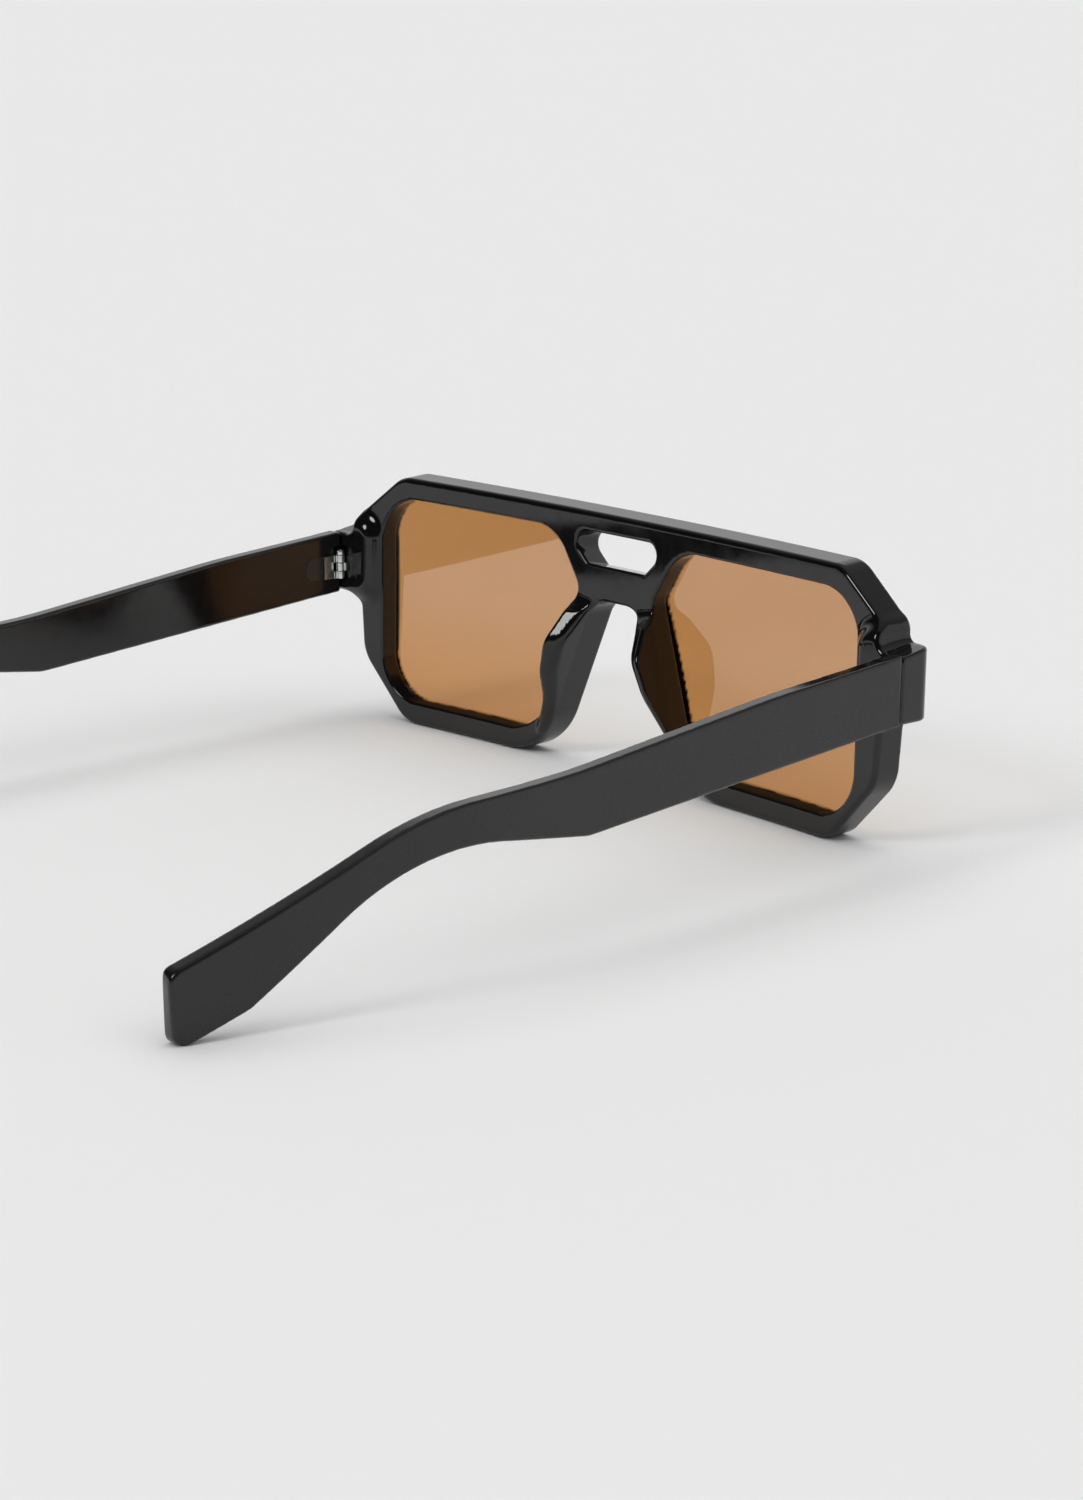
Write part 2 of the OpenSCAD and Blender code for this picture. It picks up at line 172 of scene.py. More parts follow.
# Limits of the sums below
LEAST_ROUND = 0.02  # smallest radius of an outline's corner, in millimetres
FAR = 1e6
TINY = 1e-6
LEAST = 1e-9
MOVES = 3  # how many times a surface's points are moved onto it
SLOPE_REACH = 0.1  # share of a grid step over which a field's slope is taken
LONGEST_MOVE = 0.5  # share of a grid step by which a point moves at most
LEAST_STEEP = 0.05  # least squared slope, where a field is nearly level

# Fixed tones and shares of the materials
DUST = (0.36, 0.35, 0.34)
CAST_TINT = (0.8, 0.78, 0.74)  # what a lens lets through of spread light
# Painted shade: the near black in which the lenses' edges inside the rims' grooves are drawn,
# standing in for the grooves' shadow
GROOVE_SHADE_BLACK = (0.006, 0.005, 0.005)
PLASTIC_IOR = 1.52
SILL_DULL = 0.85  # share of dull plastic on the sills
COAT_FOOT, COAT_HEAD = 0.05, 0.122  # what a lens's faces reflect, low down and higher up
GLANCE_SHARE = 0.87  # added to it where the face is seen edge on
INNER_LOSS = 0.8  # share of it that is missing from within

# Tones of the room by height: 0 is straight down, 0.5 level and 1 straight up
BACKDROP = (0.8, 0.8, 0.8)
OVERHEAD = (0.4, 0.4, 0.4)
HIGH_WALL = (0.25, 0.25, 0.25)
DARK_ROOM = (0.03, 0.028, 0.026)
AHEAD_TONES = ((0.76, BACKDROP), (0.82, HIGH_WALL), (1.0, OVERHEAD))
BEHIND_TONES = (
    (0.497, BACKDROP), (0.515, OVERHEAD), (0.56, DARK_ROOM), (0.93, DARK_ROOM), (1.0, OVERHEAD),
)

# Directions and places of the stage
SUN_FROM = (-0.1, -0.05, 1.0)
SUN_ANGLE = 95
PANEL_FROM = (0.1126, 0.8012, 0.5878)
PANEL_EDGE = (0.984, 0.991)  # cosines between which the panel's edge fades in
CAMERA_PLACE = (-0.421694, 0.402043, 0.158070)  # y as in the fields
CAMERA_AHEAD = (0.7143, -0.6520, -0.2544)
CAMERA_RIGHT = (-0.6744, -0.7384, -0.0008)
SENSOR = 36.0  # in millimetres
SIGHT = 100.0  # how far the camera sees, in metres


def in_mm(group):
    """The group's lengths in millimetres; the lean is an angle and stays out"""
    names = type(group).__annotations__
    return {name: getattr(group, name) * MM for name in names if name != "lean"}


def climb(value, span):
    """0 up to zero, 1 from the span on and even in between"""
    return np.clip(value / span, 0, 1)


# Distance fields in millimetres, negative inside; y counts back from the rims' rear face


class Outline:
    """A closed line of straight runs and round corners, given by corners (u, v, radius)"""

    def __init__(self, corners):
        points = np.array([c[:2] for c in corners], float)
        radii = [max(c[2], LEAST_ROUND) for c in corners]
        u, v = points[:, 0], points[:, 1]
        if np.sum(u * np.roll(v, -1) - np.roll(u, -1) * v) < 0:
            points, radii = points[::-1], radii[::-1]
        count = len(points)
        starts, ends = [], []
        self.arcs, self.runs = [], []
        for i, (corner, r) in enumerate(zip(points, radii)):
            a = points[i - 1] - corner
            b = points[(i + 1) % count] - corner
            a, b = a / np.linalg.norm(a), b / np.linalg.norm(b)
            angle = math.acos(np.clip(a @ b, -1, 1))
            reach = r / math.tan(angle / 2)
            middle = (a + b) / np.linalg.norm(a + b)
            centre = corner + middle * r / math.sin(angle / 2)
            bulge = 1 if a[1] * b[0] - a[0] * b[1] > 0 else -1
            starts.append(corner + a * reach)
            ends.append(corner + b * reach)
            self.arcs.append((centre, r, -middle, math.cos((math.pi - angle) / 2), bulge))
        for i in range(count):
            step = starts[(i + 1) % count] - ends[i]
            size = np.linalg.norm(step)
            if step @ (points[(i + 1) % count] - points[i]) < -TINY:
                raise ValueError("the round corners at %s overlap" % points[i])
            if size > TINY:
                self.runs.append((ends[i], step / size, size))

    def distance(self, u, v):
        """Distance from the line, negative inside it"""
        best = np.full(np.broadcast(u, v).shape, FAR)
        for start, way, size in self.runs:
            x, y = u - start[0], v - start[1]
            along = np.clip(x * way[0] + y * way[1], 0, size)
            away = np.hypot(x - along * way[0], y - along * way[1])
            signed = np.copysign(away, x * way[1] - y * way[0])
            best = np.where(away < np.abs(best), signed, best)
        for centre, r, middle, spread, bulge in self.arcs:
            x, y = u - centre[0], v - centre[1]
            far = np.hypot(x, y)
            signed = (far - r) * bulge
            facing = x * middle[0] + y * middle[1] >= far * spread - LEAST
            best = np.where(facing & (np.abs(signed) < np.abs(best)), signed, best)
        return best


def round_max(a, b, r):
    """What lies in both shapes, with the edge between them rounded"""
    return (
        np.minimum(np.maximum(a + r, b + r), 0)
        + np.hypot(np.maximum(a + r, 0), np.maximum(b + r, 0))
        - r
    )


def blend_min(a, b, k):
    """What lies in either shape, with a fillet between them"""
    h = np.maximum(k - np.abs(a - b), 0) / k
    return np.minimum(a, b) - h * h * k * 0.25


def block(x, y, z, low, high, r):
    """A block with rounded edges"""
    over = [np.abs(v - (a + b) / 2) - (b - a) / 2 + r for v, a, b in zip((x, y, z), low, high)]
    most = np.maximum(np.maximum(over[0], over[1]), over[2])
    out = np.sqrt(sum(np.maximum(o, 0) ** 2 for o in over))
    return out + np.minimum(most, 0) - r


def barrel(x, y, z, centre, radius, low, high, r):
    """An upright cylinder with rounded edges"""
    away = np.hypot(x - centre[0], y - centre[1]) - radius
    return round_max(away, np.abs(z - (low + high) / 2) - (high - low) / 2, r)


def skin(field, low, high, step):
    """The surface on which a field is zero: its points, four-sided faces and directions

    Each grid edge that crosses the surface makes one face between the four cells round it. The
    point of a cell is the mean of its crossings, moved onto the surface at the end.
    """
    axes = [np.arange(a, b + step, step) for a, b in zip(low, high)]
    grid = np.meshgrid(*axes, indexing="ij", sparse=True)
    shape = tuple(len(a) for a in axes)
    values = np.broadcast_to(field(*grid), shape)
    inside = values < 0
    cells = np.array([n - 1 for n in shape])
    origin = np.array(low, float)
    ids, spots, corners = [], [], []
    for axis in range(3):
        b, c = (axis + 1) % 3, (axis + 2) % 3
        head = [slice(None)] * 3
        tail = [slice(None)] * 3
        head[axis], tail[axis] = slice(0, -1), slice(1, None)
        head, tail = tuple(head), tuple(tail)
        at = np.argwhere(inside[head] != inside[tail])
        within_b = (at[:, b] > 0) & (at[:, b] < cells[b])
        within_c = (at[:, c] > 0) & (at[:, c] < cells[c])
        at = at[within_b & within_c]
        key = tuple(at.T)
        start, end = values[head][key], values[tail][key]
        spot = at.astype(float)
        spot[:, axis] += start / (start - end)
        ring = []
        for back_b, back_c in ((0, 0), (1, 0), (1, 1), (0, 1)):
            cell = at.copy()
            cell[:, b] -= back_b
            cell[:, c] -= back_c
            ring.append(np.ravel_multi_index(tuple(cell.T), tuple(cells)))
        ring = np.stack(ring, axis=1)
        flip = ~inside[head][key]
        ring[flip] = ring[flip][:, ::-1]
        corners.append(ring)
        ids.append(ring.ravel())
        spots.append(np.repeat(spot, 4, axis=0))
    known, place = np.unique(np.concatenate(ids), return_inverse=True)
    spots = np.concatenate(spots)
    count = np.bincount(place, minlength=len(known))
    points = np.stack(
        [np.bincount(place, weights=spots[:, i], minlength=len(known)) / count for i in range(3)],
        axis=1,
    )
    points = origin + points * step
    faces = place.reshape(-1, 4)

    def slope(where, reach):
        rise = []
        for i in range(3):
            ahead, behind = where.copy(), where.copy()
            ahead[:, i] += reach
            behind[:, i] -= reach
            rise.append((field(*ahead.T) - field(*behind.T)) / (2 * reach))
        return np.stack(rise, axis=1)

    for _ in range(MOVES):
        rise = slope(points, step * SLOPE_REACH)
        steep = np.maximum(np.sum(rise * rise, axis=1), LEAST_STEEP)
        move = -(field(*points.T) / steep)[:, None] * rise
        size = np.maximum(np.linalg.norm(move, axis=1), LEAST)
        points = points + move * np.minimum(1, LONGEST_MOVE * step / size)[:, None]
    rise = slope(points, step * SLOPE_REACH)
    rise /= np.maximum(np.linalg.norm(rise, axis=1), LEAST)[:, None]
    return points, faces, rise


def mirrored(points, faces, ways):
    """The other side's points, faces and directions"""
    flip = np.array([-1.0, 1.0, 1.0])
    return points * flip, faces[:, ::-1], ways * flip


def both_sides(left):
    """The name and the shape of each side, from the left one's shape"""
    return ("left", left), ("right", mirrored(*left))


def leaned(points, faces, ways, lean):
    """The shape leaned forward round the line on which the front stands"""
    c, s = math.cos(lean), math.sin(lean)
    turn = np.array([[1, 0, 0], [0, c, -s], [0, s, c]])
    return points @ turn.T, faces, ways @ turn.T


def new_object(name, data):
    """An object in the scene that shows this data"""
    made = bpy.data.objects.new(name, data)
    bpy.context.scene.collection.objects.link(made)
    return made


def make_piece(name, shape, material, mark, marks):
    """A mesh object from a shape in millimetres, moved to the middle of the glasses

    The marks are values at the points that the material reads under the name in mark.
    """
    points, faces, ways = shape
    points = (points - np.array([0, places().mid_depth, 0])) / MM
    mesh = bpy.data.meshes.new(name)
    mesh.from_pydata(points.tolist(), [], faces.tolist())
    mesh.polygons.foreach_set("use_smooth", np.ones(len(faces), bool))
    mesh.normals_split_custom_set_from_vertices(ways.tolist())
    layer = mesh.attributes.new(mark, "FLOAT", "POINT")
    layer.data.foreach_set("value", marks.astype(np.float32))
    mesh.materials.append(material)
    return new_object(name, mesh)


# Materials: each function below the node helper returns a surface


class Nodes:
    """Short names for building a node tree"""

    def __init__(self, tree):
        self.tree = tree

    def put(self, socket, value):
        """Gives an input a value or links it to an output"""
        if isinstance(value, bpy.types.NodeSocket):
            self.tree.links.new(value, socket)
        else:
            socket.default_value = value

    def add(self, kind, values=None, **settings):
        node = self.tree.nodes.new(kind)
        for name, value in settings.items():
            setattr(node, name, value)
        for name, value in (values or {}).items():
            self.put(node.inputs[name], value)
        return node

    def made(self, kind, values=None, **settings):
        """The first output of a new node"""
        return self.add(kind, values, **settings).outputs[0]

    def math(self, operation, a, b=0.0, clamp=False):
        return self.made("ShaderNodeMath", {0: a, 1: b}, operation=operation, use_clamp=clamp)

    def times(self, a, b):
        return self.math("MULTIPLY", a, b)

    def plus(self, a, b):
        return self.math("ADD", a, b)

    def minus(self, a, b):
        return self.math("SUBTRACT", a, b)

    def ramp(self, factor, stops):
        node = self.add("ShaderNodeValToRGB", {0: factor})
        ends = node.color_ramp.elements
        ends[0].position, ends[0].color = stops[0][0], (*stops[0][1], 1)
        ends[1].position, ends[1].color = stops[-1][0], (*stops[-1][1], 1)
        for position, tone in stops[1:-1]:
            ends.new(position).color = (*tone, 1)
        return node.outputs[0]

    def spread(self, factor, low, high, to_low=0, to_high=1):
        values = {0: factor, 1: low, 2: high, 3: to_low, 4: to_high}
        return self.made("ShaderNodeMapRange", values)

    def even(self, noise, low, high, margin=0.3):
        """Spreads the middle of a noise's range over low to high"""
        return self.spread(noise, margin, 1 - margin, low, high)

    def noise(self, place, scale, detail=3.0, rough=0.5):
        values = {"Vector": place, "Scale": scale, "Detail": detail, "Roughness": rough}
        return self.made("ShaderNodeTexNoise", values)

    def mark(self, name):
        """The value of that name at the mesh's points"""
        return self.add("ShaderNodeAttribute", attribute_name=name).outputs["Fac"]

    def blend(self, factor, a, b):
        """Two surfaces mixed"""
        return self.made("ShaderNodeMixShader", {0: factor, 1: a, 2: b})

    def mix(self, factor, a, b):
        """Two colours mixed"""
        a, b = ((*v, 1) if isinstance(v, tuple) else v for v in (a, b))
        return self.add("ShaderNodeMix", {0: factor, 6: a, 7: b}, data_type="RGBA").outputs[2]

    def specks(self, place, scale, size, share):
        """Sparse dust: 1 on a speck, 0 elsewhere"""
        cells = self.add("ShaderNodeTexVoronoi", {"Vector": place, "Scale": scale})
        draw = self.math("FRACT", self.times(cells.outputs[1], 7.31))
        chosen = self.math("LESS_THAN", draw, share)
        return self.times(chosen, self.spread(cells.outputs[0], size * 0.6, size, 1.0, 0.0))


def shade(value, k):
    """A colour made k times as bright"""
    return tuple(min(1.0, c * k) for c in value)


def polished_plastic(kit, place, base, rough_low, rough_high, outside=None):
    """Injection-moulded plastic with faint waves, smears and dust

    With roughnesses for the outside, the faces marked outside are satin. Without them, the
    places marked sill are dull.
    """
    cloud = kit.noise(place, 90.0, 4.0)
    smear = kit.noise(place, 320.0, 5.0, 0.62)
    fine = kit.noise(place, 2600.0, 2.0)
    dust = kit.specks(place, 640.0, 0.045, 0.035)
    tint = kit.mix(kit.even(cloud, 0, 1, 0.35), shade(base, 0.8), shade(base, 1.25))
    tint = kit.mix(kit.times(dust, 0.7), tint, DUST)
    rough = kit.even(smear, rough_low, rough_high)
    if outside is not None:
        face = kit.mark("outside")
        satin = kit.even(smear, *outside)
        rough = kit.made("ShaderNodeMix", {0: face, 2: rough, 3: satin})
        tint = kit.mix(kit.times(face, 0.35), tint, shade(base, 1.7))
    rough = kit.plus(rough, kit.times(dust, 0.1))
    waves = kit.noise(place, 70.0, 1.0)
    height = kit.plus(kit.times(waves, 0.9), kit.times(fine, 0.012))
    bump = kit.made("ShaderNodeBump", {"Strength": 0.12, "Distance": 0.00025, "Height": height})
    values = {"Base Color": tint, "Roughness": rough, "Normal": bump, "IOR": PLASTIC_IOR}
    surface = kit.made("ShaderNodeBsdfPrincipled", values)
    if outside is None:
        dull = kit.made("ShaderNodeBsdfDiffuse", {0: tint})
        surface = kit.blend(kit.times(kit.mark("sill"), SILL_DULL), surface, dull)
    return surface


def tinted_lens(kit, place, tint):
    """Brown plastic that light goes straight through, with shiny faces and an edge painted near
    black as the shade of the rim's groove
    """
    height = kit.add("ShaderNodeSeparateXYZ", {0: place}).outputs[2]
    cloud = kit.noise(place, 60.0, 3.0)
    dust = kit.specks(place, 420.0, 0.06, 0.12)
    low = kit.mix(cloud, shade(tint, 0.97), shade(tint, 1.0))
    high = kit.mix(cloud, shade(tint, 0.94), shade(tint, 0.97))
    through = kit.mix(kit.spread(height, 0.004, 0.044), low, high)
    through = kit.mix(kit.times(dust, 0.35), through, shade(tint, 0.62))

    # The light that the lenses throw on the table is paler than what is seen through them
    light = kit.add("ShaderNodeLightPath").outputs
    spread_light = kit.math("MAXIMUM", light["Is Shadow Ray"], light["Is Diffuse Ray"])
    through = kit.mix(kit.times(spread_light, 0.7), through, CAST_TINT)

    # The faces reflect more at a glance and towards the top, and less from within
    facing = kit.add("ShaderNodeLayerWeight", {0: 0.5}).outputs["Facing"]
    glance = kit.math("POWER", facing, 5.0)
    values = {0: height, 1: 0.005, 2: 0.030, 3: COAT_FOOT, 4: COAT_HEAD}
    coat = kit.made("ShaderNodeMapRange", values, interpolation_type="SMOOTHSTEP")
    share = kit.math("ADD", kit.times(glance, GLANCE_SHARE), coat, clamp=True)
    inner = kit.add("ShaderNodeNewGeometry").outputs["Backfacing"]
    share = kit.times(share, kit.minus(1.0, kit.times(inner, INNER_LOSS)))

    clear = kit.made("ShaderNodeBsdfTransparent", {0: through})
    rough = kit.even(kit.noise(place, 240.0, 4.0), 0.008, 0.03)
    gloss = kit.made("ShaderNodeBsdfGlossy", {"Color": (1, 1, 1, 1), "Roughness": rough})
    # Painted shade: where the lens reaches into the rim's groove it is drawn dark and dull,
    # standing in for the groove's shadow
    dark = kit.made("ShaderNodeBsdfDiffuse", {0: (*GROOVE_SHADE_BLACK, 1)})
    return kit.blend(kit.mark("rim"), kit.blend(share, clear, gloss), dark)


def worked_metal(kit, place, base, rough_low, rough_high, lacquer=None):
    """Steel with fine tool marks, under dark lacquer where one is given and it isn't marked bare"""
    cloud = kit.noise(place, 900.0, 4.0)
    drawn = kit.made("ShaderNodeMapping", {"Vector": place, "Scale": (1.0, 1.0, 9.0)})
    marks = kit.noise(drawn, 2500.0, 3.0)
    tint = kit.mix(kit.even(cloud, 0, 1, 0.35), shade(base, 0.82), shade(base, 1.08))
    rough = kit.even(marks, rough_low, rough_high)
    bump = kit.made("ShaderNodeBump", {"Strength": 0.25, "Distance": 0.00003, "Height": marks})
    metal = 1.0
    if lacquer is not None:
        metal = kit.mark("bare")
        tint = kit.mix(metal, lacquer, tint)
    values = {"Base Color": tint, "Metallic": metal, "Roughness": rough, "Normal": bump}
    return kit.made("ShaderNodeBsdfPrincipled", values)


def table_top(kit, place, base):
    """A pale, dull and nearly even table"""
    tint = kit.mix(kit.noise(place, 3.0, 3.0), shade(base, 0.995), base)
    values = {"Base Color": tint, "Roughness": 0.9, "Specular IOR Level": 0.0}
    return kit.made("ShaderNodeBsdfPrincipled", values)


def finish(name):
    """The material of that name, made when it is first asked for"""
    if name in bpy.data.materials:
        return bpy.data.materials[name]
    looks = bpy.context.scene.glasses_finishes
    plastic, temple, lens = tuple(looks.plastic), tuple(looks.temple), tuple(looks.lens)
    metal, lacquer, screw = tuple(looks.metal), tuple(looks.lacquer), tuple(looks.screw)
    makers = {
        "polished black plastic": (polished_plastic, plastic, 0.045, 0.12),
        "temple plastic": (polished_plastic, temple, 0.07, 0.15, (0.24, 0.34)),
        "brown lens": (tinted_lens, lens),
        "plated hinge metal": (worked_metal, metal, 0.12, 0.26, lacquer),
        "turned screw metal": (worked_metal, screw, 0.12, 0.26),
        "pale table": (table_top, tuple(looks.table)),
    }
    material = bpy.data.materials.new(name)
    material.use_nodes = True
    material.node_tree.nodes.clear()
    kit = Nodes(material.node_tree)
    place = kit.add("ShaderNodeTexCoord").outputs["Object"]
    maker, *values = makers[name]
    kit.add("ShaderNodeOutputMaterial", {0: maker(kit, place, *values)})
    return material


# Places worked out from the sizes


def places():
    """All sizes in millimetres with the places that follow from them"""
    scene = bpy.context.scene
    p = SimpleNamespace(lean=scene.glasses_front.lean)
    for key in ("glasses_front", "glasses_lenses", "glasses_temples", "glasses_hinges"):
        vars(p).update(in_mm(getattr(scene, key)))
    p.open_in = p.bridge_w / 2
    p.open_out = p.open_in + p.opening_w
    p.open_top = p.rim_low + p.opening_h
    p.front_h = p.open_top + p.brow
    p.side_x_top = p.open_out + p.side_top
    p.side_x_low = p.open_out + p.side_low
    p.outer_x = p.side_x_top + p.end_reach
    p.end_top = p.end_z + p.end_h
    p.inner_x = p.outer_x - p.temple_t
    p.axis_x = p.inner_x - AXIS_IN
    p.axis_y = p.butt_y + AXIS_BACK
    p.relief_r = p.barrel_r + ROOM
    p.middle_z = p.barrel_z + p.knuckle_h + PLAY
    p.middle_top = p.middle_z + p.middle_h
    p.upper_z = p.middle_top + PLAY
    p.barrel_top = p.upper_z + p.knuckle_h
    p.leaf_low = p.barrel_z + SHORT
    p.leaf_high = p.barrel_top - SHORT
    p.butt_own = p.butt_y + (p.end_z + p.end_h / 2) * math.sin(p.lean)
    p.mid_depth = (p.temple_end - p.front_t - p.front_h * math.sin(p.lean)) / 2
    return p


def opening_outline(p):
    """The wearer's left lens opening, by corners (x, z, radius)"""
    return Outline([
        (p.open_in + NOSE_CUT, p.rim_low, 13),
        (p.open_out, p.rim_low, 9),
        (p.open_out, p.open_top, 9),
        (p.open_in + 6.3, p.open_top, 9),
        (p.open_in, p.rim_low + NOSE_RISE, 3),
    ])


def lens_centre(p):
    """The point round which a lens's front surface is curved"""
    reach = p.curve_r + p.front_t + p.lens_bulge - p.lens_r
    cx = reach * (p.open_in + p.opening_w / 2) / p.curve_r
    return cx, p.curve_r - math.sqrt(reach ** 2 - cx ** 2), p.rim_low + p.opening_h / 2


def barrel_room(p, x, y, z):
    """The space in which a hinge's barrel turns"""
    centre = (p.axis_x, p.axis_y)
    low, high = p.barrel_z - ROOM, p.barrel_top + p.head_h + ROOM
    return barrel(x, y, z, centre, p.relief_r, low, high, 0.15)


def bored(p, shape, x, y):
    """The shape with a bore for the screw"""
    bore = p.pin_r + PLAY - np.hypot(x - p.axis_x, y - p.axis_y)
    return round_max(shape, bore, BORE_EDGE)


def front_field(p):
    """The moulded front, built upright and as its left half, which x is folded onto"""
    # Seen from behind, by corners (x, z, radius)
    outline = Outline([
        (-2, p.arch_h, 0),
        (p.arch_half, p.arch_h, 4.5),
        (p.gap_half, 0, 15),
        (p.side_x_low - 11.5, 0, 7),
        (p.side_x_low, 11.7, 8),
        (p.side_x_low + 0.9, p.end_z, 3),
        (p.outer_x + 4, p.end_z, 0.5),
        (p.outer_x + 4, p.end_top, 0.5),
        (p.side_x_top - 0.2, p.end_top, 1.9),
        (p.side_x_top, p.front_h - 8.7, 3.2),
        (p.side_x_top - 11.4, p.front_h, 7),
        (-2, p.front_h, 0),
    ])
    opening = opening_outline(p)
    slot = Outline([(-7.3, 38.3, 0.8), (7.3, 38.3, 0.8), (13.5, 44.2, 2.2), (-13.5, 44.2, 2.2)])
    # Seen from above, by corners (x, y, radius)
    front_y = p.outer_x ** 2 / (2 * p.curve_r) - p.front_t
    plan = Outline([
        (-2, -20, 0),
        (p.outer_x - 20, -20, 0),
        (p.outer_x - 20, front_y - 20 * p.outer_x / p.curve_r - 0.3, 0),
        (p.outer_x, front_y + 0.1, 2.7),
        (p.outer_x, p.butt_own + 8, 0),
        (-2, p.butt_own + 8, 0),
    ])
    # The swelling behind the end piece
    boss = Outline([
        (p.outer_x - 11, p.end_z - 0.4, 3.5),
        (p.outer_x + 5, p.end_z - 0.4, 0),
        (p.outer_x + 5, p.end_top + 2.7, 0),
        (p.outer_x - 11, p.end_top + 2.7, 3.5),
    ])

    def nose_x(z):
        return p.gap_half + (p.arch_half - p.gap_half) * z / p.arch_h

    def open_x(z):
        return p.open_in + NOSE_CUT * (1 - (z - p.rim_low) / NOSE_RISE)

    # The nose pad seen from behind, between the nose gap and the opening
    foot = 4.0
    pad_room = Outline([
        (nose_x(foot) - 3, foot, 0.8),
        (open_x(foot) + 0.3, foot + 0.4, 0.8),
        (open_x(p.arch_h) + 0.3, p.arch_h - 0.4, 1),
        (nose_x(p.arch_h) - 3, p.arch_h - 1, 1),
    ])
    # The nose pad from the side, by corners (way back, z, radius); it is tallest near this height
    tall = 24.2
    pad_side = Outline([
        (-3, tall - 21.2, 0),
        (p.pad_out - 5.7, tall - 13.7, 12),
        (p.pad_out - 1.6, tall - 6.6, 10),
        (p.pad_out, tall - 0.4, 4.5),
        (p.pad_out - 2.4, tall + 5.1, 2),
        (-3, tall + 11, 0),
    ])
    pad_turn = math.radians(25)
    flare = 0.4  # how much wider the outline is at the front face
    end_rise = 0.6  # rise of the end pieces' tops towards the front
    slot_drop = 1.1  # how much lower the slot lies at the front face
    bevel_start = 3.4  # depth at which the openings' bevels begin
    face_edge = 0.6  # rounding of the front face's edges and of the slot
    boss_edge, boss_fillet = 1.9, 3.0
    pad_edge, pad_fillet = 0.8, 2.2
    c, s = math.cos(p.lean), math.sin(p.lean)

    def field(x, y, z):
        x = np.abs(x)
        far = np.hypot(x, y - p.curve_r)
        depth = climb(far - p.curve_r, p.front_t)
        at_end = climb(x - 68, 2) * climb(31 - z, 4)
        wider = flare * climb(z, 10) * (1 - at_end)
        raised = climb(x - 66, 3) * climb(z - 31, 3) * climb(p.butt_own - y, 6)
        rim = outline.distance(x, z) + wider * (1 - depth) - end_rise * raised
        before = depth * p.front_t - bevel_start
        bevel = np.minimum(0.45 * (before + np.sqrt(before ** 2 + 0.1)), 2.0)
        hole = slot.distance(x, z + slot_drop * depth)
        body = p.curve_r - far
        swelling = round_max(boss.distance(x, z), y - p.butt_own, boss_edge)
        body = blend_min(body, swelling, boss_fillet)
        back = y * math.cos(pad_turn) - (x - p.open_in - 3.2) * math.sin(pad_turn)
        pad = round_max(pad_room.distance(x, z), pad_side.distance(back, z), pad_edge)
        body = blend_min(body, pad, pad_fillet)
        soft = climb(y - 0.8, 2.2) * climb(32 - x, 4)
        shape = round_max(rim, body, p.front_edge + 0.3 * soft)
        shape = round_max(shape, far - p.curve_r - p.front_t, face_edge)
        shape = round_max(shape, plan.distance(x, y), face_edge)
        wall = np.minimum(bevel - opening.distance(x, z), hole - 1)
        shape = round_max(shape, wall, 0.45 + 0.75 * soft)
        shape = round_max(shape, -hole, face_edge)
        across, up = y * c - z * s, y * s + z * c
        shape = round_max(shape, -barrel_room(p, x, across, up), RELIEF_EDGE)
        return round_max(shape, -up, 0.3)

    return field


def temple_field(p):
    """The left temple, and how far outside its outer face a place lies"""
    half_lean = p.end_h / 2 * math.sin(p.lean)
    start = p.butt_y + TEMPLE_GAP
    end = p.temple_end
    # Seen from the side, by corners (y, z, radius)
    side_view = Outline([
        (start + half_lean, p.end_z, 0.4),
        (end - 71.3, 18.9, 10),
        (end - 38.8, 23.7, 38),
        (end - 11.9, 3.9, 3),
        (end - 0.9, -0.83, 1.8),
        (end, 10.6, 3),
        (end - 40.3, 28.2, 50),
        (end - 68.8, 29.2, 150),
        (34, 33.7, 200),
        (start - half_lean, p.end_top - 0.1, 0.4),
    ])
    centre = p.outer_x - p.bend_r
    turn = math.asin((end - p.bend_y) / p.bend_r)

    def outwards(x, y):
        ring = np.hypot(x - centre, y - p.bend_y) - p.bend_r
        return np.where(y < p.bend_y, x - p.outer_x, ring)

    def field(x, y, z):
        out = outwards(x, y)
        wall = np.abs(out + p.temple_t / 2) - p.temple_t / 2
        cut = (y - p.bend_y) * math.cos(turn) - (x - centre) * math.sin(turn)
        soft = p.temple_edge * np.clip((y - p.axis_y) / 4, 0.6, 1)
        shape = round_max(side_view.distance(y, z), wall, soft)
        shape = round_max(shape, cut, 0.6)
        return round_max(shape, -barrel_room(p, x, y, z), RELIEF_EDGE)

    return field, outwards


def lens_field(p):
    """The left lens, cut from a shell and reaching into the rim"""
    opening = opening_outline(p)
    cx, cy, cz = lens_centre(p)

    def field(x, y, z):
        far = np.sqrt((x - cx) ** 2 + (y - cy) ** 2 + (z - cz) ** 2)
        side = opening.distance(x, z) - p.groove
        shape = round_max(side, far - p.lens_r, 0.2)
        return round_max(shape, p.lens_r - p.lens_t - far, 0.2)

    return field


